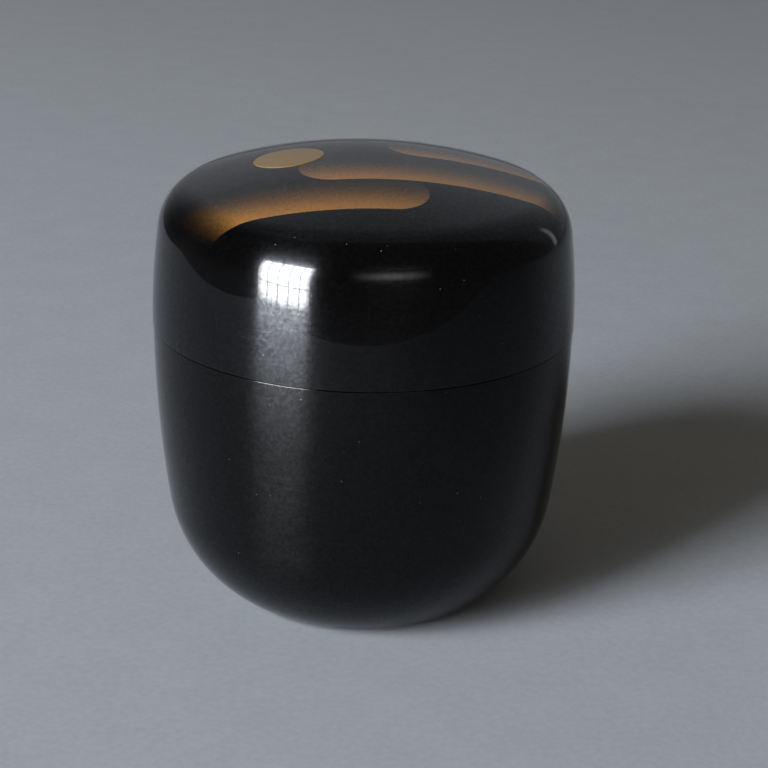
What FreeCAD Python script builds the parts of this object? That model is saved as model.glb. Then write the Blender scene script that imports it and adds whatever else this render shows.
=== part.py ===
"""Lidded round tea caddy of turned wood, lacquered inside and out.

Two turned pieces carry everything: a cup with an upstanding rim, and a lid that slides down over that rim
until its mouth rests on the ledge outside it. Each is a wood core in a coat of lacquer, and the coat is laid
in stages that end at an edge: the outside, the lining, and the foot.

All sizes are in millimetres. The caddy stands on z = 0 with its axis on Z.
"""

import FreeCAD
import Part

import math
import os

# Outside form
MAX_DIAMETER = 66.0          # cup at the joint, its widest place
BODY_HEIGHT = 45.0           # foot to the joint
LID_HEIGHT = 26.3            # joint to the top of the crown
LID_OVERHANG = 0.12          # how far the lid stands proud of the cup at the joint
CROWN_RADIUS = 85.0          # dome of the lid
SHOULDER_RADIUS = 8.0        # turn from the dome to the side of the lid
LID_FLANK_RADIUS = 110.0     # slow curve up the side of the lid
BODY_FLANK_RADIUS = 203.0    # slow curve down the side of the cup
HAUNCH_RADIUS = 22.0         # turn where the side draws in above the foot
HEEL_RADIUS = 7.0            # turn under to the foot
HEEL_ANGLE = 5.0             # slope of the heel where it meets the foot, in degrees above flat

# Foot
FOOT_DIAMETER = 37.0         # outside of the ring that the caddy stands on
FOOT_WIDTH = 3.0             # flat of that ring
RECESS_DEPTH = 0.7           # base turned hollow inside the ring
RECESS_SLOPE = 45.0          # side of that hollow, in degrees above flat

# Walls
LID_SKIRT = 2.4              # wall of the lid at its mouth
CROWN_THICKNESS = 3.2        # lid at the axis
LID_CORNER_RADIUS = 9.0      # inside turn from wall to dome
FLOOR_THICKNESS = 3.6        # cup at the axis, measured from the foot plane
WELL_CORNER_RADIUS = 16.0    # inside turn from wall to floor

# Joint of lid and cup
RIM_HEIGHT = 7.0             # upstanding rim above the ledge
RIM_THICKNESS = 1.8
RIM_CLEARANCE = 0.12         # gap all round between the rim and the lid
RIM_EDGE_RADIUS = 0.4        # rounding of the rim's top
JOINT_EDGE_RADIUS = 0.12     # rounding of the two outer edges that meet at the joint
LEAD_IN_RADIUS = 0.4         # rounding inside the lid's mouth

# Lacquer, ground and top coats together
LACQUER_THICKNESS = 0.4

# Worked out from the sizes above
MAX_RADIUS = MAX_DIAMETER / 2
FOOT_RADIUS = FOOT_DIAMETER / 2
FOOT_INNER_RADIUS = FOOT_RADIUS - FOOT_WIDTH
JOINT_Z = BODY_HEIGHT
TOP_Z = BODY_HEIGHT + LID_HEIGHT
LID_RADIUS = MAX_RADIUS + LID_OVERHANG
BORE_RADIUS = LID_RADIUS - LID_SKIRT
RIM_RADIUS = BORE_RADIUS - RIM_CLEARANCE
WELL_RADIUS = RIM_RADIUS - RIM_THICKNESS
BODY_WALL = MAX_RADIUS - WELL_RADIUS
RIM_TOP_Z = JOINT_Z + RIM_HEIGHT


def beside(centre, distance, direction):
    """Point at a distance from centre, along a direction given as a second point."""
    span = math.dist(centre, direction)
    share = distance / span
    return (centre[0] + (direction[0] - centre[0]) * share, centre[1] + (direction[1] - centre[1]) * share)


def outer_meeting(first, first_radius, second, second_radius):
    """Point at the given distances from two centres, the one further from the axis."""
    span = math.dist(first, second)
    along = (span**2 + first_radius**2 - second_radius**2) / (2 * span)
    across = math.sqrt(first_radius**2 - along**2)
    ux = (second[0] - first[0]) / span
    uz = (second[1] - first[1]) / span
    side = math.copysign(across, uz)
    return (first[0] + ux * along + uz * side, first[1] + uz * along - ux * side)


def across_at(centre, reach, height):
    """Radius, on a circle about centre, at a height."""
    return centre[0] + math.sqrt(reach**2 - (height - centre[1]) ** 2)


# Centres of the arcs that make the outside, each tangent to the next
CROWN_CENTRE = (0.0, TOP_Z - CROWN_RADIUS)
LID_FLANK_CENTRE = (LID_RADIUS - LID_FLANK_RADIUS, JOINT_Z)
SHOULDER_CENTRE = outer_meeting(
    LID_FLANK_CENTRE,
    LID_FLANK_RADIUS - SHOULDER_RADIUS,
    CROWN_CENTRE,
    CROWN_RADIUS - SHOULDER_RADIUS,
)
BODY_FLANK_CENTRE = (MAX_RADIUS - BODY_FLANK_RADIUS, JOINT_Z)
HEEL_CENTRE = (
    FOOT_RADIUS - HEEL_RADIUS * math.sin(math.radians(HEEL_ANGLE)),
    HEEL_RADIUS * math.cos(math.radians(HEEL_ANGLE)),
)
HAUNCH_CENTRE = outer_meeting(
    BODY_FLANK_CENTRE,
    BODY_FLANK_RADIUS - HAUNCH_RADIUS,
    HEEL_CENTRE,
    HAUNCH_RADIUS - HEEL_RADIUS,
)

# Centres of the two inside turns, each tangent to the wall and to the dome or floor
LID_CORNER_REACH = CROWN_RADIUS - CROWN_THICKNESS - LID_CORNER_RADIUS
LID_CORNER_X = BORE_RADIUS - LID_CORNER_RADIUS
LID_CORNER_CENTRE = (LID_CORNER_X, CROWN_CENTRE[1] + math.sqrt(LID_CORNER_REACH**2 - LID_CORNER_X**2))
WELL_CORNER_REACH = BODY_FLANK_RADIUS - BODY_WALL - WELL_CORNER_RADIUS
WELL_CORNER_Z = FLOOR_THICKNESS + WELL_CORNER_RADIUS
WELL_CORNER_CENTRE = (across_at(BODY_FLANK_CENTRE, WELL_CORNER_REACH, WELL_CORNER_Z), WELL_CORNER_Z)


def vector(point):
    """Section point, radius and height, as a vector in the XZ plane."""
    return FreeCAD.Vector(point[0], 0, point[1])


def line(start, end):
    """Straight edge between two section points."""
    return Part.LineSegment(vector(start), vector(end)).toShape()


def arc(centre, radius, start, end):
    """Edge of a circle from start to end, the short way round."""
    middle = ((start[0] + end[0]) / 2, (start[1] + end[1]) / 2)
    return Part.Arc(vector(start), vector(beside(centre, radius, middle)), vector(end)).toShape()


def arc_chain(start, arcs, end):
    """Tangent arcs in a row.

    Each arc is its centre and radius. Two neighbours touch on the line through their centres, on the far
    side of the larger one's centre.
    """
    edges = []
    here = start
    for (centre, radius), (next_centre, next_radius) in zip(arcs, arcs[1:]):
        if radius > next_radius:
            touch = beside(centre, radius, next_centre)
        else:
            touch = beside(next_centre, next_radius, centre)
        edges.append(arc(centre, radius, here, touch))
        here = touch
    edges.append(arc(*arcs[-1], here, end))
    return edges


def square_path(points, radii):
    """Upright and level lines through the points, with each inner corner rounded to its radius."""
    edges = []
    here = points[0]
    for corner, following, radius in zip(points[1:], points[2:], radii):
        if radius > 0:
            before = beside(corner, radius, here)
            after = beside(corner, radius, following)
            centre = (before[0] + after[0] - corner[0], before[1] + after[1] - corner[1])
            edges += [line(here, before), arc(centre, radius, before, after)]
            here = after
        else:
            edges.append(line(here, corner))
            here = corner
    edges.append(line(here, points[-1]))
    return edges


def joint_edge(flank_centre, flank_radius, inset, upward):
    """Rounded outer edge at the joint, where a flank arc meets the level joint face.

    Returns its end on the joint face, its end on the flank and its edges, none where the edge is sharp.
    """
    radius = max(JOINT_EDGE_RADIUS - inset, 0.0)
    side = 1 if upward else -1
    face_z = JOINT_Z + side * inset
    centre_z = face_z + side * radius
    centre = (across_at(flank_centre, flank_radius - inset - radius, centre_z), centre_z)
    on_face = (centre[0], face_z)
    if radius == 0:
        return on_face, on_face, []
    on_flank = beside(flank_centre, flank_radius - inset, centre)
    return on_face, on_flank, [arc(centre, radius, on_face, on_flank)]


def lid_outside(inset):
    """Mouth edge, flank, shoulder and crown of the lid, moved into the wood by inset. Ends at the axis."""
    on_face, on_flank, edge = joint_edge(LID_FLANK_CENTRE, LID_FLANK_RADIUS, inset, upward=True)
    arcs = [
        (LID_FLANK_CENTRE, LID_FLANK_RADIUS - inset),
        (SHOULDER_CENTRE, SHOULDER_RADIUS - inset),
        (CROWN_CENTRE, CROWN_RADIUS - inset),
    ]
    apex = (0.0, TOP_Z - inset)
    return on_face, edge + arc_chain(on_flank, arcs, apex), apex


def lid_inside(inset):
    """Mouth face, bore and hollow of the lid, moved into the wood by inset. Ends at the axis."""
    on_face = lid_outside(inset)[0]
    bore = BORE_RADIUS + inset
    bore_top = (bore, LID_CORNER_CENTRE[1])
    mouth = (bore, JOINT_Z + inset)
    apex = (0.0, TOP_Z - CROWN_THICKNESS + inset)
    arcs = [
        (LID_CORNER_CENTRE, LID_CORNER_RADIUS + inset),
        (CROWN_CENTRE, CROWN_RADIUS - CROWN_THICKNESS + inset),
    ]
    edges = square_path([on_face, mouth, bore_top], [max(LEAD_IN_RADIUS - inset, 0.0)])
    return on_face, edges + arc_chain(bore_top, arcs, apex), apex


def body_outside(inset):
    """Ledge edge, flank, haunch and heel of the cup, moved into the wood by inset. Ends at the foot."""
    on_face, on_flank, edge = joint_edge(BODY_FLANK_CENTRE, BODY_FLANK_RADIUS, inset, upward=False)
    arcs = [
        (BODY_FLANK_CENTRE, BODY_FLANK_RADIUS - inset),
        (HAUNCH_CENTRE, HAUNCH_RADIUS - inset),
        (HEEL_CENTRE, HEEL_RADIUS - inset),
    ]
    foot = (across_at(HEEL_CENTRE, HEEL_RADIUS - inset, inset), inset)
    return on_face, edge + arc_chain(on_flank, arcs, foot), foot


def body_inside(inset):
    """Ledge, rim, well and floor of the cup, moved into the wood by inset. Ends at the axis."""
    on_face = body_outside(inset)[0]
    well = WELL_RADIUS + inset
    well_top = (well, JOINT_Z)
    points = [
        on_face,
        (RIM_RADIUS - inset, JOINT_Z - inset),
        (RIM_RADIUS - inset, RIM_TOP_Z - inset),
        (well, RIM_TOP_Z - inset),
        well_top,
    ]
    rim_edge = max(RIM_EDGE_RADIUS - inset, 0.0)
    floor_z = FLOOR_THICKNESS - inset
    floor_edge = (WELL_CORNER_CENTRE[0], floor_z)
    floor_centre = (0.0, floor_z)
    arcs = [
        (BODY_FLANK_CENTRE, BODY_FLANK_RADIUS - BODY_WALL + inset),
        (WELL_CORNER_CENTRE, WELL_CORNER_RADIUS + inset),
    ]
    edges = square_path(points, [0.0, rim_edge, rim_edge]) + arc_chain(well_top, arcs, floor_edge)
    return on_face, edges + [line(floor_edge, floor_centre)], floor_centre


def body_base(inset):
    """Foot ring and hollowed base of the cup, moved into the wood by inset. Ends at the axis."""
    foot = body_outside(inset)[2]
    slope = math.radians(RECESS_SLOPE)
    ring_end = (FOOT_INNER_RADIUS + inset * math.tan(slope / 2), inset)
    recess_edge = (ring_end[0] - RECESS_DEPTH / math.tan(slope), RECESS_DEPTH + inset)
    recess_centre = (0.0, RECESS_DEPTH + inset)
    edges = [line(foot, ring_end), line(ring_end, recess_edge), line(recess_edge, recess_centre)]
    return foot, edges, recess_centre


def turned(edges):
    """Solid turned about the Z axis from the closed section that the edges make."""
    wire = Part.Wire(Part.__sortEdges__(edges))
    return Part.Face(wire).revolve(FreeCAD.Vector(0, 0, 0), FreeCAD.Vector(0, 0, 1), 360)


def core(*surfaces):
    """Wood inside the given coated surfaces, the first and last of which end at the axis."""
    edges = []
    axis_ends = []
    for surface in surfaces:
        _, chain, end = surface(LACQUER_THICKNESS)
        edges += chain
        if end[0] == 0:
            axis_ends.append(end)
    return turned(edges + [line(*axis_ends)])


def coat(surface):
    """Lacquer between a finished surface and the wood under it."""
    start, outer, end = surface(0.0)
    wood_start, wood, wood_end = surface(LACQUER_THICKNESS)
    return turned(outer + wood + [line(start, wood_start), line(end, wood_end)])


PIECES = {
    "body_core": core(body_inside, body_outside, body_base),
    "body_outer_lacquer": coat(body_outside),
    "body_lining_lacquer": coat(body_inside),
    "foot_lacquer": coat(body_base),
    "lid_core": core(lid_outside, lid_inside),
    "lid_outer_lacquer": coat(lid_outside),
    "lid_lining_lacquer": coat(lid_inside),
}

os.makedirs("parts", exist_ok=True)
for name, solid in PIECES.items():
    solid.exportStep(f"parts/{name}.step")
    print(f"{name}: valid {solid.isValid()}, {solid.ShapeType}, {solid.Volume / 1000:.2f} cm3")
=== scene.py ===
"""Looks of the lidded lacquer tea caddy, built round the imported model.

Every lacquered surface is turned again as a smooth piece on the same section as its solid. The wood cores
keep their solids. The gold on the lid is a plain moon with drifting bars of mist.
"""

from __future__ import annotations

import logging
import math
from collections.abc import Callable
from dataclasses import dataclass, field
from enum import Enum

import bmesh
import bpy
from mathutils import Matrix, Vector

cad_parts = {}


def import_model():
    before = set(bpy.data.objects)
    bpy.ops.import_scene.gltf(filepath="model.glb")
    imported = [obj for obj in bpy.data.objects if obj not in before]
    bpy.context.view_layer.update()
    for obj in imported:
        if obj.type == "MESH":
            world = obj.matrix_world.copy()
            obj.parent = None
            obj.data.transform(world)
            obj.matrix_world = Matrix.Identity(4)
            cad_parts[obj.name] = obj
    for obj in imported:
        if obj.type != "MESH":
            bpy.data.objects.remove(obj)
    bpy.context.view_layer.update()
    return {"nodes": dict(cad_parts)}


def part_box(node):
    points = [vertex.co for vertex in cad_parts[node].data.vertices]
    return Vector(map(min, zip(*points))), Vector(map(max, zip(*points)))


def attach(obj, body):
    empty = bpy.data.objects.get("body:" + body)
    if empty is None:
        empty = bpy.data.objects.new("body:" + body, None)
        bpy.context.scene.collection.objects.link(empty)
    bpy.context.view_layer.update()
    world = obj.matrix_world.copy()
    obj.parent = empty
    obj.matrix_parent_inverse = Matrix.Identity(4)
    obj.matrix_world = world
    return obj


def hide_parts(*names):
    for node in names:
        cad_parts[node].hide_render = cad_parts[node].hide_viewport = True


LOG = logging.getLogger("tea_caddy")
MM = 0.001
WHITE = (1.0, 1.0, 1.0, 1.0)
DARK = (0.0, 0.0, 0.0, 1.0)

Point = tuple[float, float]
Arc = tuple[Point, float]
Ends = tuple[float, float]
Triple = tuple[float, float, float]
Colour = tuple[float, float, float, float]
Ramp = tuple[float, float, float, float]
Socket = bpy.types.NodeSocket
Inputs = dict[str | int, object]


class Body(Enum):
    """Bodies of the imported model."""

    CUP = "body"
    LID = "lid"


class Slot(Enum):
    """Material slots of the record."""

    OUTER = "outer_lacquer"
    LINING = "lining_lacquer"
    GOLD = "gold_powder"


@dataclass(frozen=True)
class Stroke:
    """One stretch of a turned section: a line to its end, or an arc to it round a centre."""

    end: Point
    centre: Point | None = None


@dataclass(frozen=True)
class Chain:
    """Strokes in a row from a start point, as radius and height in metres."""

    start: Point
    strokes: tuple[Stroke, ...]

    @property
    def end(self) -> Point:
        """Last point of the chain."""
        return self.strokes[-1].end

    def reversed(self) -> Chain:
        """The same chain from its end to its start."""
        ends = (self.start,) + tuple(stroke.end for stroke in self.strokes[:-1])
        return Chain(self.end, tuple(map(Stroke, ends, (stroke.centre for stroke in self.strokes)))[::-1])

    def then(self, other: Chain) -> Chain:
        """This chain, a line to another one's start, and that other chain."""
        return Chain(self.start, self.strokes + (Stroke(other.start),) + other.strokes)


def beside(centre: Point, distance: float, towards: Point) -> Point:
    """Point at a distance from a centre, towards another point."""
    share = distance / math.dist(centre, towards)
    return (centre[0] + (towards[0] - centre[0]) * share, centre[1] + (towards[1] - centre[1]) * share)


def across_at(centre: Point, reach: float, height: float) -> float:
    """Radius, on a circle about a centre, at a height."""
    return centre[0] + math.sqrt(reach**2 - (height - centre[1]) ** 2)


def height_at(centre: Point, reach: float, across: float) -> float:
    """Height, on a circle about a centre, at a radius."""
    return centre[1] + math.sqrt(reach**2 - (across - centre[0]) ** 2)


def direction(azimuth: float, elevation: float) -> Vector:
    """Way from the caddy at an azimuth from the front and an elevation, in degrees."""
    turn, rise = math.radians(azimuth), math.radians(elevation)
    return Vector((math.sin(turn) * math.cos(rise), -math.cos(turn) * math.cos(rise), math.sin(rise)))


def outer_meeting(first: Point, second: Point, reaches: Ends) -> Point:
    """Point at given distances from two centres.

    Args:
        first: One centre.
        second: The other centre.
        reaches: Distances from them.

    Returns:
        The one of two such points that is further from the axis.
    """
    span = math.dist(first, second)
    along = (span**2 + reaches[0] ** 2 - reaches[1] ** 2) / (2 * span)
    across = math.sqrt(reaches[0] ** 2 - along**2)
    way = (Vector(second) - Vector(first)) / span
    side = Vector((way.y, -way.x)) * math.copysign(across, way.y)
    return tuple(Vector(first) + way * along + side)


def tangent_strokes(arcs: list[Arc], end: Point) -> list[Stroke]:
    """Arcs in a row, each tangent to the next.

    Args:
        arcs: Centre and radius of each arc.
        end: Where the last arc stops.

    Returns:
        One stroke for each arc.
    """
    strokes = []
    for (centre, radius), (following, next_radius) in zip(arcs, arcs[1:]):
        if radius > next_radius:
            touch = beside(centre, radius, following)
        else:
            touch = beside(following, next_radius, centre)
        strokes.append(Stroke(touch, centre))
    return strokes + [Stroke(end, arcs[-1][0])]


def square_strokes(points: list[Point], radii: list[float]) -> list[Stroke]:
    """Upright and level lines through points, with rounded corners.

    Args:
        points: Start, corners and end.
        radii: Rounding of each corner, 0 where it is sharp.

    Returns:
        The strokes from the first point to the last.
    """
    strokes = []
    for before, corner, after, radius in zip(points, points[1:], points[2:], radii):
        if radius <= 0:
            strokes.append(Stroke(corner))
            continue
        enter = beside(corner, radius, before)
        leave = beside(corner, radius, after)
        centre = (enter[0] + leave[0] - corner[0], enter[1] + leave[1] - corner[1])
        strokes += [Stroke(enter), Stroke(leave, centre)]
    return strokes + [Stroke(points[-1])]


@dataclass(frozen=True)
class CaddyForm:
    """Section of the caddy in metres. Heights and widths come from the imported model."""

    joint_z: float
    top_z: float
    rim_top_z: float
    cup_radius: float
    lid_radius: float
    foot_radius: float
    lacquer: float = 0.4 * MM
    crown_radius: float = 85.0 * MM
    shoulder_radius: float = 8.0 * MM
    lid_flank_radius: float = 110.0 * MM
    cup_flank_radius: float = 203.0 * MM
    haunch_radius: float = 22.0 * MM
    heel_radius: float = 7.0 * MM
    heel_angle: float = 5.0
    foot_width: float = 3.0 * MM
    recess_depth: float = 0.7 * MM
    recess_slope: float = 45.0
    lid_skirt: float = 2.4 * MM
    crown_thickness: float = 3.2 * MM
    lid_corner_radius: float = 9.0 * MM
    floor_thickness: float = 3.6 * MM
    well_corner_radius: float = 16.0 * MM
    rim_thickness: float = 1.8 * MM
    rim_clearance: float = 0.12 * MM
    rim_edge_radius: float = 0.4 * MM
    joint_edge_radius: float = 0.12 * MM
    lead_in_radius: float = 0.4 * MM

    @classmethod
    def from_frame(cls) -> CaddyForm:
        """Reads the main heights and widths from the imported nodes.

        Returns:
            The section with those sizes.
        """
        cup_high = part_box("body_outer_lacquer")[1]
        lid_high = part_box("lid_outer_lacquer")[1]
        return cls(
            joint_z=cup_high.z,
            top_z=lid_high.z,
            rim_top_z=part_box("body_lining_lacquer")[1].z,
            cup_radius=cup_high.x,
            lid_radius=lid_high.x,
            foot_radius=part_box("foot_lacquer")[1].x,
        )

    @property
    def bore_radius(self) -> float:
        """Inside of the lid's wall."""
        return self.lid_radius - self.lid_skirt

    @property
    def rim_radius(self) -> float:
        """Outside of the cup's upstanding rim."""
        return self.bore_radius - self.rim_clearance

    @property
    def well_radius(self) -> float:
        """Inside of the cup's upstanding rim."""
        return self.rim_radius - self.rim_thickness

    @property
    def crown_centre(self) -> Point:
        """Centre of the lid's dome."""
        return (0.0, self.top_z - self.crown_radius)

    @property
    def lid_flank_centre(self) -> Point:
        """Centre of the slow curve up the lid's side."""
        return (self.lid_radius - self.lid_flank_radius, self.joint_z)

    @property
    def cup_flank_centre(self) -> Point:
        """Centre of the slow curve down the cup's side."""
        return (self.cup_radius - self.cup_flank_radius, self.joint_z)

    @property
    def heel_centre(self) -> Point:
        """Centre of the turn under to the foot, which the heel meets at its slope."""
        slope = math.radians(self.heel_angle)
        return (self.foot_radius - self.heel_radius * math.sin(slope), self.heel_radius * math.cos(slope))

    @property
    def shoulder_centre(self) -> Point:
        """Centre of the lid's shoulder, which is tangent to the flank and the dome."""
        reaches = (self.lid_flank_radius - self.shoulder_radius, self.crown_radius - self.shoulder_radius)
        return outer_meeting(self.lid_flank_centre, self.crown_centre, reaches)

    @property
    def haunch_centre(self) -> Point:
        """Centre of the turn where the cup's side draws in, tangent to the flank and the heel."""
        reaches = (self.cup_flank_radius - self.haunch_radius, self.haunch_radius - self.heel_radius)
        return outer_meeting(self.cup_flank_centre, self.heel_centre, reaches)

    def outside(self, arcs: list[Arc], end: Point, inset: float, body: Body) -> Chain:
        """Rounded edge at the joint and the arcs that run on from it.

        Args:
            arcs: Flank and what follows it.
            end: Where the last arc stops.
            inset: Depth below the surface.
            body: Body that the edge is on.

        Returns:
            The chain from the joint's face to the end.
        """
        flank_centre, reach = arcs[0]
        upward = 1 if body is Body.LID else -1
        radius = max(self.joint_edge_radius - inset, 0.0)
        face_z = self.joint_z + upward * inset
        centre_z = face_z + upward * radius
        centre = (across_at(flank_centre, reach - radius, centre_z), centre_z)
        edge = [Stroke(beside(flank_centre, reach, centre), centre)] if radius else []
        return Chain((centre[0], face_z), tuple(edge + tangent_strokes(arcs, end)))

    def lid_outside(self, inset: float) -> Chain:
        """Mouth edge, flank, shoulder and crown of the lid.

        Args:
            inset: Depth below the surface.

        Returns:
            The chain from the joint to the axis.
        """
        arcs = [
            (self.lid_flank_centre, self.lid_flank_radius - inset),
            (self.shoulder_centre, self.shoulder_radius - inset),
            (self.crown_centre, self.crown_radius - inset),
        ]
        return self.outside(arcs, (0.0, self.top_z - inset), inset, Body.LID)

    def lid_inside(self, inset: float) -> Chain:
        """Mouth face, bore and hollow of the lid.

        Args:
            inset: Depth below the surface.

        Returns:
            The chain from the joint to the axis.
        """
        on_face = self.lid_outside(inset).start
        bore = self.bore_radius + inset
        corner_x = self.bore_radius - self.lid_corner_radius
        reach = self.crown_radius - self.crown_thickness - self.lid_corner_radius
        corner = (corner_x, height_at(self.crown_centre, reach, corner_x))
        arcs = [
            (corner, self.lid_corner_radius + inset),
            (self.crown_centre, self.crown_radius - self.crown_thickness + inset),
        ]
        wall = [on_face, (bore, self.joint_z + inset), (bore, corner[1])]
        apex = (0.0, self.top_z - self.crown_thickness + inset)
        strokes = square_strokes(wall, [max(self.lead_in_radius - inset, 0.0)])
        return Chain(on_face, tuple(strokes + tangent_strokes(arcs, apex)))

    def cup_outside(self, inset: float) -> Chain:
        """Ledge edge, flank, haunch and heel of the cup.

        Args:
            inset: Depth below the surface.

        Returns:
            The chain from the joint to the foot.
        """
        arcs = [
            (self.cup_flank_centre, self.cup_flank_radius - inset),
            (self.haunch_centre, self.haunch_radius - inset),
            (self.heel_centre, self.heel_radius - inset),
        ]
        foot = (across_at(self.heel_centre, self.heel_radius - inset, inset), inset)
        return self.outside(arcs, foot, inset, Body.CUP)

    def cup_inside(self, inset: float) -> Chain:
        """Ledge, rim, well and floor of the cup.

        Args:
            inset: Depth below the surface.

        Returns:
            The chain from the joint to the axis.
        """
        on_face = self.cup_outside(inset).start
        well = self.well_radius + inset
        rim = self.rim_radius - inset
        top = self.rim_top_z - inset
        floor_z = self.floor_thickness - inset
        wall = self.cup_radius - self.well_radius
        corner_z = self.floor_thickness + self.well_corner_radius
        reach = self.cup_flank_radius - wall - self.well_corner_radius
        corner = (across_at(self.cup_flank_centre, reach, corner_z), corner_z)
        arcs = [
            (self.cup_flank_centre, self.cup_flank_radius - wall + inset),
            (corner, self.well_corner_radius + inset),
        ]
        points = [on_face, (rim, self.joint_z - inset), (rim, top), (well, top), (well, self.joint_z)]
        rounding = max(self.rim_edge_radius - inset, 0.0)
        strokes = square_strokes(points, [0.0, rounding, rounding])
        strokes += tangent_strokes(arcs, (corner[0], floor_z)) + [Stroke((0.0, floor_z))]
        return Chain(on_face, tuple(strokes))

    def cup_base(self, inset: float) -> Chain:
        """Foot ring and hollowed base of the cup.

        Args:
            inset: Depth below the surface.

        Returns:
            The chain from the heel to the axis.
        """
        slope = math.radians(self.recess_slope)
        foot = self.cup_outside(inset).end
        ring_end = (self.foot_radius - self.foot_width + inset * math.tan(slope / 2), inset)
        hollow_z = self.recess_depth + inset
        hollow_edge = (ring_end[0] - self.recess_depth / math.tan(slope), hollow_z)
        return Chain(foot, (Stroke(ring_end), Stroke(hollow_edge), Stroke((0.0, hollow_z))))


class Lathe:
    """Draws a section stroke by stroke in the XZ plane and turns it about Z."""

    TURN_STEPS = 192
    ARC_STEP = math.radians(3.0)
    FEWEST_ARC_STEPS = 2
    LONGEST_EDGE = 1.5 * MM
    WELD = 1e-7
    CREASE = math.radians(32.0)

    def __init__(self, chain: Chain) -> None:
        """Draws a section as a row of edges.

        Args:
            chain: The section.
        """
        self.mesh = bmesh.new()
        self.first = self.mesh.verts.new((chain.start[0], 0.0, chain.start[1]))
        self.tip = self.first
        for stroke in chain.strokes:
            if stroke.centre is None:
                self._line(stroke.end)
            else:
                self._arc(stroke.centre, stroke.end)

    def _line(self, end: Point) -> None:
        """Draws a straight edge to a point."""
        self.tip = bmesh.ops.extrude_vert_indiv(self.mesh, verts=[self.tip])["verts"][0]
        self.tip.co = (end[0], 0.0, end[1])

    def _arc(self, centre: Point, end: Point) -> None:
        """Draws an arc, the short way round.

        Args:
            centre: Point that it goes round.
            end: Point that it goes to.
        """
        before = Vector((self.tip.co.x, self.tip.co.z)) - Vector(centre)
        after = Vector(end) - Vector(centre)
        angle = math.atan2(before.x * after.y - before.y * after.x, before.dot(after))
        by_angle = abs(angle) / self.ARC_STEP
        by_length = abs(angle) * before.length / self.LONGEST_EDGE
        steps = max(self.FEWEST_ARC_STEPS, math.ceil(max(by_angle, by_length)))
        pivot = {"cent": (centre[0], 0.0, centre[1]), "axis": (0.0, -1.0, 0.0)}
        swept = bmesh.ops.spin(self.mesh, geom=[self.tip], angle=angle, steps=steps, **pivot)
        self.tip = next(item for item in swept["geom_last"] if isinstance(item, bmesh.types.BMVert))
        self.tip.co = (end[0], 0.0, end[1])

    def turn(self) -> bmesh.types.BMesh:
        """Turns the section through a full circle.

        Returns:
            The closed mesh, with its faces outwards and its corners marked sharp.
        """
        if self.first.co.x > self.WELD:
            bmesh.ops.contextual_create(self.mesh, geom=[self.tip, self.first])
        drawn = self.mesh.verts[:] + self.mesh.edges[:]
        circle = {"axis": (0.0, 0.0, 1.0), "angle": math.tau, "steps": self.TURN_STEPS}
        bmesh.ops.spin(self.mesh, geom=drawn, use_merge=True, **circle)
        bmesh.ops.remove_doubles(self.mesh, verts=self.mesh.verts[:], dist=self.WELD)
        bmesh.ops.recalc_face_normals(self.mesh, faces=self.mesh.faces[:])
        for face in self.mesh.faces:
            face.smooth = True
        for edge in self.mesh.edges:
            edge.smooth = edge.calc_face_angle(0.0) < self.CREASE
        return self.mesh


def place(name: str, mesh: bmesh.types.BMesh) -> bpy.types.Object:
    """Puts a finished mesh into the scene as an object at the origin.

    Args:
        name: Name of the piece.
        mesh: Its geometry, which is freed.

    Returns:
        The new object.
    """
    data = bpy.data.meshes.new(name)
    mesh.to_mesh(data)
    mesh.free()
    piece = bpy.data.objects.new(name, data)
    bpy.context.scene.collection.objects.link(piece)
    return piece


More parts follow.
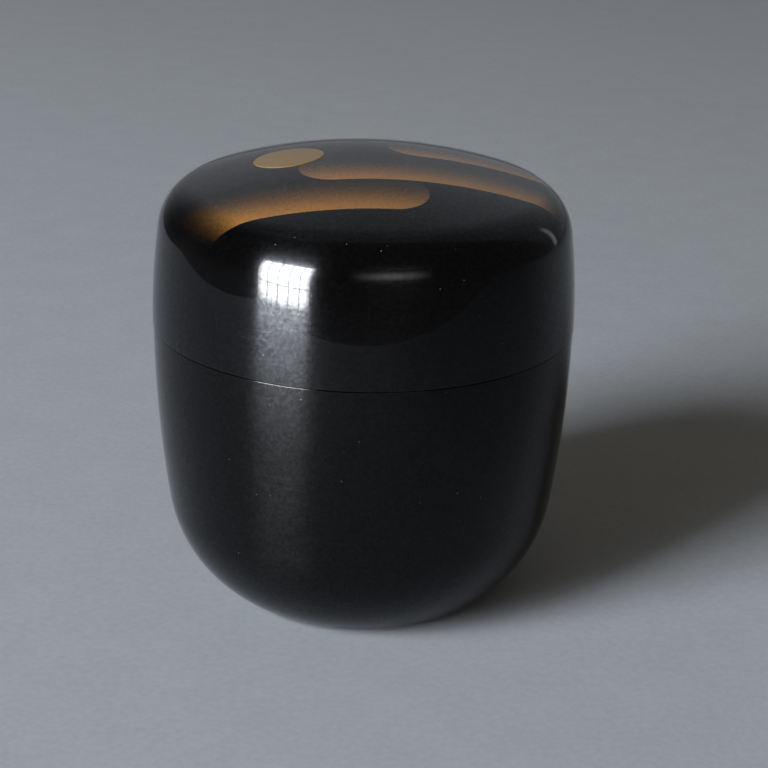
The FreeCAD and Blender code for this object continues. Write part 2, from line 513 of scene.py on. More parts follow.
class NodeTree:
    """A node tree, with short calls for the nodes in use."""

    def __init__(self, tree: bpy.types.NodeTree) -> None:
        """Empties a tree to start from."""
        self.tree = tree
        self.tree.nodes.clear()

    def node(self, kind: str, inputs: Inputs | None = None, **settings: object) -> bpy.types.Node:
        """Adds a node.

        Args:
            kind: Its type.
            inputs: What is fed to its inputs, by name or number.
            settings: Its properties.

        Returns:
            The new node.
        """
        made = self.tree.nodes.new(kind)
        for name, value in settings.items():
            setattr(made, name, value)
        for key, value in (inputs or {}).items():
            self.feed(made.inputs[key], value)
        return made

    def feed(self, socket: Socket, value: object) -> None:
        """Links a socket to another, or sets it to a constant.

        Args:
            socket: Input of a node.
            value: Output of another node, or the constant.
        """
        if isinstance(value, bpy.types.NodeSocket):
            self.tree.links.new(value, socket)
        else:
            socket.default_value = value

    def math(self, operation: str, *values: object, clamp: bool = False) -> Socket:
        """Result of a Math node, kept between 0 and 1 if it is clamped."""
        inputs = dict(enumerate(values))
        return self.node("ShaderNodeMath", inputs, operation=operation, use_clamp=clamp).outputs["Value"]

    def length(self, *values: Socket) -> Socket:
        """Length of a vector with two given parts."""
        squares = [self.math("MULTIPLY", value, value) for value in values]
        return self.math("SQRT", self.math("ADD", *squares))

    def coordinates(self, stretch: Triple = (1.0, 1.0, 1.0), turn: Triple = (0.0, 0.0, 0.0)) -> Socket:
        """Object coordinates, stretched along each axis and then turned about it, in radians."""
        inputs = {0: self.node("ShaderNodeTexCoord").outputs["Object"], "Rotation": turn, "Scale": stretch}
        return self.node("ShaderNodeMapping", inputs).outputs["Vector"]

    def split(self, vector: Socket) -> tuple[Socket, ...]:
        """X, Y and Z of a vector."""
        return tuple(self.node("ShaderNodeSeparateXYZ", {"Vector": vector}).outputs)

    def noise(self, scale: float, detail: float = 2.0, roughness: float = 0.5, **mapping: Triple) -> Socket:
        """Height of a Noise texture on Object coordinates, which the mapping stretches and turns."""
        inputs = {0: self.coordinates(**mapping), "Scale": scale, "Detail": detail, "Roughness": roughness}
        return self.node("ShaderNodeTexNoise", inputs).outputs["Fac"]

    def ramp(self, value: Socket, low: float, high: float, start: float = 0.0, end: float = 1.0) -> Socket:
        """Smooth step, from its start where the value is low to its end where the value is high."""
        inputs = {"Value": value, "From Min": low, "From Max": high, "To Min": start, "To Max": end}
        return self.node("ShaderNodeMapRange", inputs, interpolation_type="SMOOTHSTEP").outputs["Result"]

    def mix(self, share: object, first: object, second: object) -> Socket:
        """Mix of two colours, by the share of the second one."""
        return self.node("ShaderNodeMix", {0: share, 6: first, 7: second}, data_type="RGBA").outputs[2]

    def blend(self, share: object, first: object, second: object) -> Socket:
        """Mix of two numbers, by the share of the second one."""
        return self.node("ShaderNodeMix", {0: share, 2: first, 3: second}, data_type="FLOAT").outputs[0]

    def bump(self, height: Socket, depth: float, under: Socket | None = None) -> Socket:
        """Normal of a surface raised by a depth in metres times a height, over an earlier one if given."""
        inputs = {"Height": height, "Distance": depth} | ({"Normal": under} if under else {})
        return self.node("ShaderNodeBump", inputs).outputs["Normal"]


class Shader(NodeTree):
    """Node tree of one material."""

    def __init__(self, name: str) -> None:
        """Starts a material.

        Args:
            name: Name of the material.
        """
        self.material = bpy.data.materials.new(name)
        self.material.use_nodes = True
        super().__init__(self.material.node_tree)

    def finish(self, inputs: Inputs) -> bpy.types.Material:
        """Gives the material its Principled surface.

        Args:
            inputs: What is fed to its inputs, by name.

        Returns:
            The material.
        """
        surface = self.node("ShaderNodeBsdfPrincipled", inputs)
        self.node("ShaderNodeOutputMaterial", {"Surface": surface.outputs["BSDF"]})
        return self.material


@dataclass(frozen=True)
class GoldPowder:
    """Sprinkled gold, burnished under clear lacquer."""

    name: str = "gold_powder"
    deep: Colour = (0.34, 0.138, 0.020, 1.0)
    bright: Colour = (0.44, 0.195, 0.036, 1.0)
    metallic: float = 0.4
    roughness: float = 0.45
    smoothest: float = 0.39
    roughest: float = 0.55
    patch_scale: float = 4200.0
    patch_ends: Ends = (0.3, 0.7)
    grain_scale: float = 11000.0
    grain_ends: Ends = (0.25, 0.75)
    grain_depth: float = 0.01 * MM
    coat_weight: float = 0.5
    coat_roughness: float = 0.06

    def colour(self, shader: Shader) -> Socket:
        """Gold that varies from grain to grain."""
        patches = shader.noise(self.patch_scale, detail=3.0, roughness=0.6)
        return shader.mix(shader.ramp(patches, *self.patch_ends), self.deep, self.bright)

    def grain(self, shader: Shader) -> Socket:
        """Random height of the powder, from 0 to 1."""
        return shader.ramp(shader.noise(self.grain_scale, detail=1.0), *self.grain_ends)

    def material(self) -> bpy.types.Material:
        """Covers a raised piece with closed gold.

        Returns:
            The material.
        """
        shader = Shader(self.name)
        grain = self.grain(shader)
        return shader.finish({
            "Base Color": self.colour(shader),
            "Metallic": self.metallic,
            "Roughness": shader.blend(grain, self.smoothest, self.roughest),
            "Coat Weight": self.coat_weight,
            "Coat Roughness": self.coat_roughness,
            "Normal": shader.bump(grain, self.grain_depth),
        })


@dataclass(frozen=True)
class MistBar:
    """One round-ended bar of mist on the crown, in millimetres along and across the drift."""

    start: float
    end: float
    front: float
    half_width: float = 5.5


@dataclass(frozen=True)
class MistDesign:
    """Bars of gold mist that drift over the crown, crisp in front and sprinkled out behind."""

    gold: GoldPowder = GoldPowder()
    drift_angle: float = -3.0
    edge: float = 0.06
    thinning: float = 1.6
    sprinkle: float = 0.5
    fade_radius: Ends = (31.5, 27.0)
    bars: tuple[MistBar, ...] = (
        MistBar(-40.0, 3.0, -21.0),
        MistBar(-5.0, 40.0, -11.5),
        MistBar(9.0, 40.0, 0.5),
    )

    def density(self, shader: Shader, bar: MistBar, along: Socket, across: Socket) -> Socket:
        """Thickness of one bar's gold.

        Args:
            shader: The lid's material.
            bar: The bar.
            along: Place along the drift.
            across: Place across it.

        Returns:
            0 outside the bar, and 1 at its front edge, falling to 0 at its back.
        """
        half_length = (bar.end - bar.start) / 2
        from_middle = shader.math("ABSOLUTE", shader.math("SUBTRACT", along, bar.start + half_length))
        past_end = shader.math("MAXIMUM", shader.math("SUBTRACT", from_middle, half_length), 0.0)
        behind = shader.math("SUBTRACT", across, bar.front)
        distance = shader.length(past_end, shader.math("SUBTRACT", behind, bar.half_width))
        inside = shader.ramp(distance, bar.half_width + self.edge, bar.half_width - self.edge)
        left = shader.math("SUBTRACT", 1.0, shader.math("DIVIDE", behind, 2 * bar.half_width), clamp=True)
        return shader.math("MULTIPLY", inside, shader.math("POWER", left, self.thinning))

    def cover(self, shader: Shader) -> Socket:
        """Share of the surface that gold covers.

        Args:
            shader: The lid's material.

        Returns:
            0 on bare lacquer, 1 on closed gold.
        """
        in_mm = (1 / MM, 1 / MM, 1 / MM)
        drift = (0.0, 0.0, math.radians(self.drift_angle))
        along, across, _ = shader.split(shader.coordinates(in_mm, drift))
        density = 0.0
        for bar in self.bars:
            density = shader.math("MAXIMUM", density, self.density(shader, bar, along, across))
        x, y, _ = shader.split(shader.coordinates(in_mm))
        density = shader.math("MULTIPLY", density, shader.ramp(shader.length(x, y), *self.fade_radius))
        grain = shader.math("ADD", self.gold.grain(shader), self.sprinkle)
        return shader.math("MINIMUM", shader.math("MULTIPLY", density, grain), 1.0)


@dataclass(frozen=True)
class BlackLacquer:
    """Polished black lacquer: a clear sharp coat over a softer black, with hairlines and a little dust."""

    black: Colour = (0.0006, 0.0006, 0.0008, 1.0)
    smoothest: float = 0.175
    roughest: float = 0.235
    cloud_scale: float = 45.0
    cloud_ends: Ends = (0.3, 0.7)
    specular: float = 0.5
    streak: float = 0.88
    streak_turn: float = 0.25
    coat_ior: float = 1.25
    coat_roughness: float = 0.025
    smoke: tuple[Colour, Colour] = ((0.225, 0.235, 0.255, 1.0), (0.585, 0.615, 0.665, 1.0))
    smoke_scale: float = 1900.0
    smoke_ends: Ends = (0.34, 0.66)
    hairline: float = 0.35
    scratch_depth: float = 0.0020 * MM
    round_stretch: Triple = (60.0, 60.0, 2400.0)
    round_ends: Ends = (0.58, 0.74)
    slant_stretch: Triple = (2200.0, 60.0, 500.0)
    slant_turn: Triple = (0.5, 0.9, 0.7)
    slant_ends: Ends = (0.62, 0.78)
    ripple_scale: float = 110.0
    ripple_depth: float = 0.0020 * MM
    dust: Colour = (0.32, 0.31, 0.29, 1.0)
    dust_roughness: float = 0.8
    dust_turn: Triple = (0.4, 0.2, 0.9)
    dust_cells: float = 900.0
    dust_size: float = 0.09
    dust_share: float = 0.72
    scuffed: Colour = (0.030, 0.029, 0.028, 1.0)
    scuff_roughness: float = 0.55
    scuff_height: float = 0.5 * MM
    scuff_ends: Ends = (0.3, 0.6)

    def scratches(self, shader: Shader) -> Socket:
        """Hairlines left by wiping, most of them round the caddy.

        Args:
            shader: The coat's material.

        Returns:
            Their height.
        """
        round_it = shader.noise(1.0, detail=3.0, roughness=0.65, stretch=self.round_stretch)
        slanted = shader.noise(1.0, stretch=self.slant_stretch, turn=self.slant_turn)
        round_it = shader.ramp(round_it, *self.round_ends)
        return shader.math("ADD", round_it, shader.ramp(slanted, *self.slant_ends))

    def specks(self, shader: Shader) -> Socket:
        """Sparse dust: a small spot in a few of the cells.

        Args:
            shader: The coat's material.

        Returns:
            1 on a spot, 0 elsewhere.
        """
        inputs = {"Vector": shader.coordinates(turn=self.dust_turn), "Scale": self.dust_cells}
        cells = shader.node("ShaderNodeTexVoronoi", inputs, feature="F1").outputs
        chance, size, _ = shader.split(cells["Color"])
        kept = shader.math("GREATER_THAN", chance, self.dust_share)
        spot = shader.math("LESS_THAN", cells["Distance"], shader.math("MULTIPLY", size, self.dust_size))
        return shader.math("MULTIPLY", kept, spot)

    def haze(self, shader: Shader, scratch: Socket) -> Socket:
        """Smoky tint of the clear coat, paler where it is wiped most.

        Args:
            shader: The coat's material.
            scratch: Height of the hairlines.

        Returns:
            The tint.
        """
        mottle = shader.noise(self.smoke_scale, detail=4.0, roughness=0.7)
        patches = shader.ramp(mottle, *self.smoke_ends, 0.0, 1.0 - self.hairline)
        wiped = shader.math("ADD", shader.math("MULTIPLY", scratch, self.hairline), patches, clamp=True)
        return shader.mix(wiped, *self.smoke)

    def material(self, name: str, design: MistDesign | None = None) -> bpy.types.Material:
        """Lacquer for one outer coat, dulled where the foot rubs on what it stands on.

        Args:
            name: Name of the material.
            design: Gold on the coat, if it has any.

        Returns:
            The material.
        """
        shader = Shader(name)
        scratch = self.scratches(shader)
        specks = self.specks(shader)
        cloud = shader.noise(self.cloud_scale, detail=3.0)
        _, _, height = shader.split(shader.coordinates())
        rubbed = shader.ramp(height, self.scuff_height, 0.0)
        scuff = shader.math("MULTIPLY", rubbed, shader.ramp(cloud, *self.scuff_ends))
        colour = shader.mix(scuff, self.black, self.scuffed)
        roughness = shader.blend(shader.ramp(cloud, *self.cloud_ends), self.smoothest, self.roughest)
        roughness = shader.blend(scuff, roughness, self.scuff_roughness)
        metallic = 0.0
        streak = self.streak
        tint = self.haze(shader, scratch)
        if design:
            cover = design.cover(shader)
            colour = shader.mix(cover, colour, design.gold.colour(shader))
            roughness = shader.blend(cover, roughness, design.gold.roughness)
            metallic = shader.math("MULTIPLY", cover, design.gold.metallic)
            streak = shader.blend(cover, self.streak, 0.0)
            tint = shader.mix(cover, tint, WHITE)
        rippled = shader.bump(shader.noise(self.ripple_scale, detail=1.5), self.ripple_depth)
        round_axis = shader.node("ShaderNodeTangent", direction_type="RADIAL", axis="Z")
        return shader.finish({
            "Base Color": shader.mix(specks, colour, self.dust),
            "Metallic": metallic,
            "Roughness": shader.blend(specks, roughness, self.dust_roughness),
            "Specular IOR Level": self.specular,
            "Anisotropic": streak,
            "Anisotropic Rotation": self.streak_turn,
            "Tangent": round_axis.outputs["Tangent"],
            "Coat Weight": 1.0,
            "Coat Roughness": self.coat_roughness,
            "Coat IOR": self.coat_ior,
            "Coat Tint": tint,
            "Normal": shader.bump(scratch, self.scratch_depth, rippled),
            "Coat Normal": rippled,
        })


@dataclass(frozen=True)
class SeamShadeLacquer:
    """Black lacquer of the edge round the lid's mouth, which mirrors almost nothing: painted shade of the
    seam's gap, as a dark line.
    """

    black: Colour = (0.0006, 0.0006, 0.0008, 1.0)
    rubbed: Colour = (0.0040, 0.0030, 0.0025, 1.0)
    roughness: float = 0.10
    rubbed_roughness: float = 0.18
    # An IOR near 1 leaves the edge almost no reflection: painted shade of the gap at the seam.
    ior: float = 1.06
    patch_scale: float = 160.0
    patch_ends: Ends = (0.45, 0.7)

    def material(self) -> bpy.types.Material:
        """Lacquer that mirrors almost nothing, as painted seam shade, rubbed a little brown in patches.

        Returns:
            The material.
        """
        shader = Shader("seam_shade_lacquer")
        patches = shader.ramp(shader.noise(self.patch_scale, detail=3.0), *self.patch_ends)
        return shader.finish({
            "Base Color": shader.mix(patches, self.black, self.rubbed),
            "Roughness": shader.blend(patches, self.roughness, self.rubbed_roughness),
            "IOR": self.ior,
        })


@dataclass(frozen=True)
class LiningLacquer:
    """Satin black lacquer of the inside, with the faint rings that brushing on the turning leaves."""

    black: Colour = (0.0042, 0.0038, 0.0038, 1.0)
    brown: Colour = (0.0100, 0.0065, 0.0050, 1.0)
    brown_ends: Ends = (0.35, 0.75)
    smoothest: float = 0.22
    roughest: float = 0.35
    cloud_scale: float = 70.0
    cloud_ends: Ends = (0.3, 0.7)
    ring_stretch: Triple = (25.0, 25.0, 1400.0)
    ring_depth: float = 0.004 * MM
    coat_weight: float = 0.4
    coat_roughness: float = 0.12

    def material(self) -> bpy.types.Material:
        """Lacquer that is clouded with brown.

        Returns:
            The material.
        """
        shader = Shader("lining_lacquer")
        rings = shader.noise(1.0, detail=3.0, stretch=self.ring_stretch)
        cloud = shader.noise(self.cloud_scale, detail=4.0)
        return shader.finish({
            "Base Color": shader.mix(shader.ramp(cloud, *self.brown_ends), self.black, self.brown),
            "Roughness": shader.blend(shader.ramp(cloud, *self.cloud_ends), self.smoothest, self.roughest),
            "Coat Weight": self.coat_weight,
            "Coat Roughness": self.coat_roughness,
            "Normal": shader.bump(rings, self.ring_depth),
        })


@dataclass(frozen=True)
class TurnedWood:
    """Close-grained wood of the cores, turned about the caddy's axis."""

    light: Colour = (0.52, 0.34, 0.18, 1.0)
    dark: Colour = (0.30, 0.17, 0.080, 1.0)
    ring_spacing: float = 2.4 * MM
    ring_ends: Ends = (0.1, 0.95)
    sway_scale: float = 30.0
    pore_stretch: Triple = (3000.0, 3000.0, 160.0)
    pore_ends: Ends = (0.7, 0.3)
    pore_shade: Ends = (0.75, 1.0)
    pore_depth: float = 0.02 * MM
    smoothest: float = 0.54
    roughest: float = 0.70

    def material(self) -> bpy.types.Material:
        """Wood with swaying rings and long pores.

        Returns:
            The material.
        """
        shader = Shader("core_wood")
        along, _, _ = shader.split(shader.coordinates())
        rings = shader.math("DIVIDE", along, self.ring_spacing)
        rings = shader.math("ADD", rings, shader.noise(self.sway_scale))
        grain = shader.ramp(shader.math("PINGPONG", rings, 1.0), *self.ring_ends)
        pores = shader.noise(1.0, stretch=self.pore_stretch)
        shade = shader.math("MULTIPLY", grain, shader.ramp(pores, *self.pore_ends, *self.pore_shade))
        return shader.finish({
            "Base Color": shader.mix(shade, self.dark, self.light),
            "Roughness": shader.blend(pores, self.smoothest, self.roughest),
            "Normal": shader.bump(pores, self.pore_depth),
        })


@dataclass
class TurnedPart:
    """A body of the caddy that is turned in coats of lacquer, with its pieces by their names."""

    form: CaddyForm
    body: Body
    pieces: dict[str, bpy.types.Object] = field(default_factory=dict)

    def coat(self, name: str, chain: Callable[[float], Chain], node: str, slot: Slot) -> None:
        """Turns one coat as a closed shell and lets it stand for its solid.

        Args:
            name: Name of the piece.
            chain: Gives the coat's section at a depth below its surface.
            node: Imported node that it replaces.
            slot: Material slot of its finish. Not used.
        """
        section = chain(0.0).reversed().then(chain(self.form.lacquer))
        piece = place(name, Lathe(section).turn())
        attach(piece, self.body.value)
        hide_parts(node)
        self.pieces[name] = piece


@dataclass
class Cup(TurnedPart):
    """The cup: its outer coat, which is wiped less than the lid's, its lining and its foot."""

    lacquer: BlackLacquer = BlackLacquer(
        smoke=((0.208, 0.21, 0.22, 1.0), (0.535, 0.54, 0.565, 1.0)), coat_ior=1.228
    )
    lining: LiningLacquer = LiningLacquer()

    def build(self) -> None:
        """Turns the three coats of the cup."""
        self.coat("cup_outside", self.form.cup_outside, "body_outer_lacquer", Slot.OUTER)
        self.coat("cup_lining", self.form.cup_inside, "body_lining_lacquer", Slot.LINING)
        self.coat("cup_foot", self.form.cup_base, "foot_lacquer", Slot.OUTER)

    def dress(self) -> None:
        """Polishes the outside and the foot alike, and the lining satin."""
        outer = self.lacquer.material("cup_lacquer")
        self.pieces["cup_outside"].data.materials.append(outer)
        self.pieces["cup_lining"].data.materials.append(self.lining.material())
        self.pieces["cup_foot"].data.materials.append(outer)


@dataclass
class Lid(TurnedPart):
    """The lid: its outer coat with the gold, its lining and the raised moon."""

    lacquer: BlackLacquer = BlackLacquer()
    # Painted shade at the seam: the lacquer of the mouth's edge mirrors almost nothing.
    edge: SeamShadeLacquer = SeamShadeLacquer()
    lining: LiningLacquer = LiningLacquer()
    design: MistDesign = MistDesign()
    moon_gold: GoldPowder = GoldPowder("moon_gold", (0.205, 0.118, 0.033, 1.0), (0.262, 0.156, 0.050, 1.0))
    moon_radius: float = 5.5 * MM
    moon_place: Point = (-12.0 * MM, 0.5 * MM)
    moon_relief: float = 0.10 * MM
    moon_root: float = 0.10 * MM

    def build(self) -> None:
        """Turns the two coats of the lid and sets the moon on the crown."""
        self.coat("lid_outside", self.form.lid_outside, "lid_outer_lacquer", Slot.OUTER)
        self.coat("lid_lining", self.form.lid_inside, "lid_lining_lacquer", Slot.LINING)
        self.build_moon()

    def build_moon(self) -> None:
        """Turns a raised disc that follows the dome, at the apex, and swings it to its place."""
        centre = self.form.crown_centre
        top = self.form.crown_radius + self.moon_relief
        root = self.form.crown_radius - self.moon_root
        flat_radius = self.moon_radius - self.moon_relief
        strokes = (
            Stroke((flat_radius, height_at(centre, top, flat_radius)), centre),
            Stroke((self.moon_radius, height_at(centre, self.form.crown_radius, self.moon_radius))),
            Stroke((self.moon_radius, height_at(centre, root, self.moon_radius))),
            Stroke((0.0, centre[1] + root), centre),
        )
        mesh = Lathe(Chain((0.0, centre[1] + top), strokes)).turn()
        reach = math.hypot(*self.moon_place)
        axis = Vector((-self.moon_place[1], self.moon_place[0], 0.0)) / reach
        swing = Matrix.Rotation(math.asin(reach / self.form.crown_radius), 3, axis)
        bmesh.ops.rotate(mesh, verts=mesh.verts[:], cent=(0.0, 0.0, centre[1]), matrix=swing)
        piece = place("lid_moon", mesh)
        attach(piece, self.body.value)
        self.pieces["lid_moon"] = piece

    def dress(self) -> None:
        """Polishes the outside, all but the edge round its mouth, which takes painted seam shade, and
        dresses the other pieces.
        """
        outside = self.pieces["lid_outside"].data
        outside.materials.append(self.lacquer.material("lid_lacquer", self.design))
        outside.materials.append(self.edge.material())
        for face in outside.polygons:
            # The faces round the mouth's edge take the painted seam shade.
            at_mouth = abs(face.center.z - self.form.joint_z) < self.form.joint_edge_radius
            face.material_index = int(at_mouth)
        self.pieces["lid_lining"].data.materials.append(self.lining.material())
        self.pieces["lid_moon"].data.materials.append(self.moon_gold.material())


@dataclass
class Cores:
    """The wood inside the coats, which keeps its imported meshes."""

    pieces: dict[str, bpy.types.Object]
    wood: TurnedWood = TurnedWood()

    def dress(self) -> None:
        """Gives both cores their wood."""
        material = self.wood.material()
        for core in self.pieces.values():
            core.data.materials.clear()
            core.data.materials.append(material)


@dataclass(frozen=True)
class Camera:
    """The photograph's camera: an orbit about the caddy, an aim point and a small roll."""

    orbit_height: float = 35.0 * MM
    distance: float = 303.9 * MM
    azimuth: float = 0.0
    elevation: float = 20.84
    aim: Triple = (3.49 * MM, 0.0, 33.67 * MM)
    roll: float = 1.426
    lens: float = 89.06
    sensor: float = 36.0
    nearest: float = 0.01

    def build(self) -> None:
        """Adds the camera and makes it the scene's."""
        spot = direction(self.azimuth, self.elevation) * self.distance
        spot.z += self.orbit_height
        data = bpy.data.cameras.new("camera")
        data.lens = self.lens
        data.sensor_width = self.sensor
        data.clip_start = self.nearest
        camera = bpy.data.objects.new("camera", data)
        towards = (Vector(self.aim) - spot).to_track_quat("-Z", "Y")
        turned = towards.to_matrix() @ Matrix.Rotation(math.radians(self.roll), 3, "Z")
        camera.matrix_world = Matrix.Translation(spot) @ turned.to_4x4()
        bpy.context.scene.collection.objects.link(camera)
        bpy.context.scene.camera = camera


@dataclass(frozen=True)
class SoftBox:
    """A flat soft light, placed by its direction from the caddy. It lights matt surfaces or is mirrored."""

    name: str
    azimuth: float
    elevation: float
    distance: float
    width: float
    height: float
    power: float
    colour: Triple
    aim_z: float = 55.0 * MM
    panes: tuple[int, int] = (4, 4)
    bars: Ends = (0.08, 0.08)
    bar_core: float = 0.5
    bar_shade: float = 0.05
    falloff: Ends = (0.15, 0.08)
    edge_shade: float = 0.2
    mirrored: bool = False

    def build(self) -> None:
        """Adds the light, facing the caddy and hidden from the camera."""
        way = direction(self.azimuth, self.elevation)
        data = bpy.data.lights.new(self.name, "AREA")
        data.shape = "RECTANGLE"
        data.size = self.width
        data.size_y = self.height
        data.energy = self.power
        data.color = self.colour
        self.glaze(data)
        light = bpy.data.objects.new(self.name, data)
        light.location = Vector((0.0, 0.0, self.aim_z)) + way * self.distance
        light.rotation_euler = (-way).to_track_quat("-Z", "Y").to_euler()
        light.visible_camera = False
        light.visible_diffuse = not self.mirrored
        light.visible_glossy = self.mirrored
        bpy.context.scene.collection.objects.link(light)

    def glaze(self, data: bpy.types.Light) -> None:
        """Divides the light into panes by thin dim bars, and dims it towards its edges.

        Args:
            data: The light.
        """
        data.use_nodes = True
        nodes = NodeTree(data.node_tree)
        glow = 1.0
        places = nodes.split(nodes.node("ShaderNodeNewGeometry").outputs["Parametric"])
        for spot, count, bar, falloff in zip(places, self.panes, self.bars, self.falloff):
            in_pane = nodes.math("FRACT", nodes.math("MULTIPLY", spot, float(count)))
            to_bar = nodes.math("MINIMUM", in_pane, nodes.math("SUBTRACT", 1.0, in_pane))
            clear = nodes.ramp(to_bar, bar * self.bar_core, bar, self.bar_shade)
            to_edge = nodes.math("MINIMUM", spot, nodes.math("SUBTRACT", 1.0, spot))
            even = nodes.ramp(to_edge, 0.0, falloff, self.edge_shade)
            glow = nodes.math("MULTIPLY", nodes.math("MULTIPLY", glow, clear), even)
        emission = nodes.node("ShaderNodeEmission", {"Strength": glow})
        nodes.node("ShaderNodeOutputLight", {"Surface": emission.outputs["Emission"]})


@dataclass(frozen=True)
class GreyPaper:
    """Matt grey paper with a faint mottle, and painted shade at the front right that only the lacquer's
    reflections show.
    """

    colour: Triple = (0.36, 0.385, 0.42)
    shade: float = 0.90
    mottle_scale: float = 90.0
    fibre_scale: float = 800.0
    fibre_share: float = 0.65
    mottle_ends: Ends = (0.3, 0.7)
    roughness: float = 0.9
    specular: float = 0.15
    # Painted shade: where the lacquer mirrors the paper at the front right, the paper is darker.
    painted_shade_edge: Ends = (0.0, 0.12)
    painted_shade_back: Ends = (0.15, 0.0)
    painted_shade_level: float = 0.65

    def tone(self, share: float) -> Colour:
        """The paper's colour at a share of its brightness."""
        return tuple(value * share for value in self.colour) + (1.0,)

    def material(self) -> bpy.types.Material:
        """Paper for the ground.

        Returns:
            The material.
        """
        shader = Shader("paper")
        mottle = shader.noise(self.mottle_scale, detail=5.0, roughness=0.6)
        fibre = shader.noise(self.fibre_scale, detail=3.0, roughness=0.7)
        texture = shader.ramp(shader.blend(self.fibre_share, mottle, fibre), *self.mottle_ends)
        plain = shader.mix(texture, self.tone(self.shade), self.tone(1.0))
        x, y, _ = shader.split(shader.coordinates())
        # Painted shade seen only in reflections: glossy rays find the paper darker at the front right.
        painted_shade_patch = shader.math("MULTIPLY", shader.ramp(x, *self.painted_shade_edge), shader.ramp(y, *self.painted_shade_back))
        mirrored = shader.node("ShaderNodeLightPath").outputs["Is Glossy Ray"]
        painted_shade_in_mirror = shader.math("MULTIPLY", painted_shade_patch, mirrored)
        return shader.finish({
            "Base Color": shader.mix(painted_shade_in_mirror, plain, self.tone(self.painted_shade_level)),
            "Roughness": self.roughness,
            "Specular IOR Level": self.specular,
        })


@dataclass(frozen=True)
class Room:
    """Dim room with a grey backdrop behind the caddy, in shares of a direction's X, Y and Z."""

    fill: Colour = (0.125, 0.113, 0.092, 1.0)
    walls: Colour = (0.100, 0.095, 0.089, 1.0)
    backdrop: Colour = (0.35, 0.367, 0.39, 1.0)
    backdrop_foot: Colour = (0.23, 0.24, 0.256, 1.0)
    foot_ends: Ends = (0.05, 0.45)
    left_shade: Ramp = (-0.72, -0.20, 0.2, 1.0)
    right_shade: Ramp = (0.15, 0.88, 1.0, 0.5)
    top_shade: Ramp = (0.65, 0.95, 1.0, 0.65)
    edge_ends: Ends = (0.46, 0.56)
    edge_lean: float = 0.5

    def build(self) -> None:
        """Makes the world, which also shows the backdrop where the camera looks past the paper."""
        world = bpy.data.worlds.new("room")
        world.use_nodes = True
        nodes = NodeTree(world.node_tree)
        across, behind, above = nodes.split(nodes.node("ShaderNodeTexCoord").outputs["Generated"])
        path = nodes.node("ShaderNodeLightPath").outputs
        leaned = nodes.math("ADD", behind, nodes.math("MULTIPLY", above, self.edge_lean))
        share = nodes.math("MAXIMUM", nodes.ramp(leaned, *self.edge_ends), path["Is Camera Ray"])
        lit = nodes.ramp(above, *self.top_shade)
        for shade in (self.left_shade, self.right_shade):
            lit = nodes.math("MULTIPLY", lit, nodes.ramp(across, *shade))
        lit = nodes.math("MAXIMUM", lit, path["Is Camera Ray"])
        backdrop = nodes.mix(nodes.ramp(above, *self.foot_ends), self.backdrop_foot, self.backdrop)
        seen = nodes.mix(share, self.walls, nodes.mix(lit, DARK, backdrop))
        colour = nodes.mix(path["Is Diffuse Ray"], seen, self.fill)
        background = nodes.node("ShaderNodeBackground", {"Color": colour})
        nodes.node("ShaderNodeOutputWorld", {"Surface": background.outputs["Background"]})
        bpy.context.scene.world = world


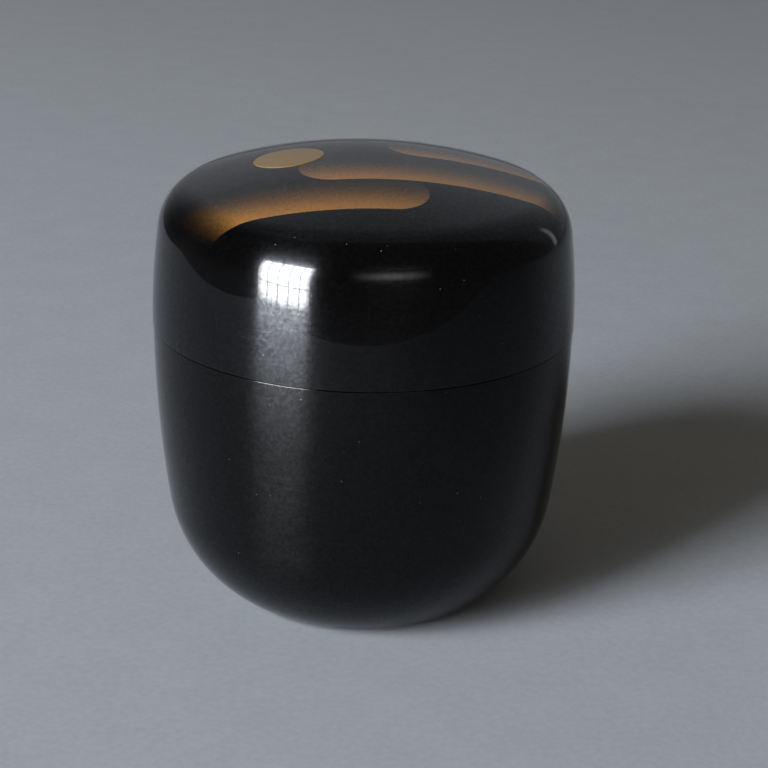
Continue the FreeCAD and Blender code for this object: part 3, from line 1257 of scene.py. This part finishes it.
@dataclass(frozen=True)
class Studio:
    """Grey paper, a soft window at the front left, the lights that the lacquer mirrors, and a dim room."""

    paper: GreyPaper = GreyPaper()
    room: Room = Room()
    reach: float = 1.5
    front_edge: float = -0.265
    left_edge: float = -0.38
    lights: tuple[SoftBox, ...] = (
        SoftBox(
            "window", azimuth=-51.0, elevation=17.5, distance=1.60, width=0.66, height=1.46,
            power=95.0, colour=(0.955, 0.985, 1.02),
        ),
        SoftBox(
            "window_gleam", azimuth=-42.5, elevation=9.8, distance=1.49, width=0.80, height=0.93,
            power=190.0, colour=(0.965, 0.98, 1.0), panes=(5, 8), bars=(0.08, 0.06), mirrored=True,
        ),
        SoftBox(
            "far_window", azimuth=15.0, elevation=17.0, distance=1.50, width=1.30, height=0.56,
            power=7.0, colour=(1.0, 0.94, 0.86), panes=(1, 1), falloff=(0.5, 0.5), edge_shade=0.0,
            mirrored=True,
        ),
        SoftBox(
            "doorway", azimuth=125.4, elevation=10.0, distance=1.50, width=0.14, height=0.85,
            power=0.36, colour=(1.0, 0.97, 0.93), panes=(1, 1), falloff=(0.4, 0.3), edge_shade=0.0,
            mirrored=True,
        ),
    )

    def build(self) -> None:
        """Lays the paper, of which the lacquer mirrors only the near sheet, and adds lights and room."""
        near = self.sheet("paper", (self.left_edge, self.front_edge), (self.reach, self.reach))
        front = self.sheet("paper_front", (-self.reach, -self.reach), (self.reach, self.front_edge))
        side = self.sheet("paper_side", (-self.reach, self.front_edge), (self.left_edge, self.reach))
        for apron in (front, side):
            apron.visible_glossy = False
            apron.visible_shadow = False
        material = self.paper.material()
        for sheet in (near, front, side):
            sheet.data.materials.append(material)
        for light in self.lights:
            light.build()
        self.room.build()

    def sheet(self, name: str, low: Point, high: Point) -> bpy.types.Object:
        """Lays a flat sheet on the ground.

        Args:
            name: Name of the sheet.
            low: Its front left corner.
            high: Its back right corner.

        Returns:
            The new object.
        """
        half_x, half_y = (high[0] - low[0]) / 2, (high[1] - low[1]) / 2
        mesh = bmesh.new()
        bmesh.ops.create_grid(mesh, x_segments=1, y_segments=1, size=1.0)
        bmesh.ops.scale(mesh, verts=mesh.verts[:], vec=(half_x, half_y, 1.0))
        bmesh.ops.translate(mesh, verts=mesh.verts[:], vec=(low[0] + half_x, low[1] + half_y, 0.0))
        return place(name, mesh)


def main() -> None:
    """Builds the caddy's pieces, dresses them and sets the stage."""
    logging.basicConfig(level=logging.INFO, format="%(name)s: %(message)s")
    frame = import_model()
    bpy.context.scene.view_settings.view_transform = "Standard"
    form = CaddyForm.from_frame()
    cup = Cup(form, Body.CUP)
    lid = Lid(form, Body.LID)
    cores = Cores({name: frame["nodes"][name] for name in ("body_core", "lid_core")})
    for part in (cup, lid):
        part.build()
    for part in (cup, lid, cores):
        part.dress()
        for name, piece in part.pieces.items():
            LOG.info("%s: %d faces", name, len(piece.data.polygons))
    Camera().build()
    Studio().build()


if __name__ == "__main__":
    main()
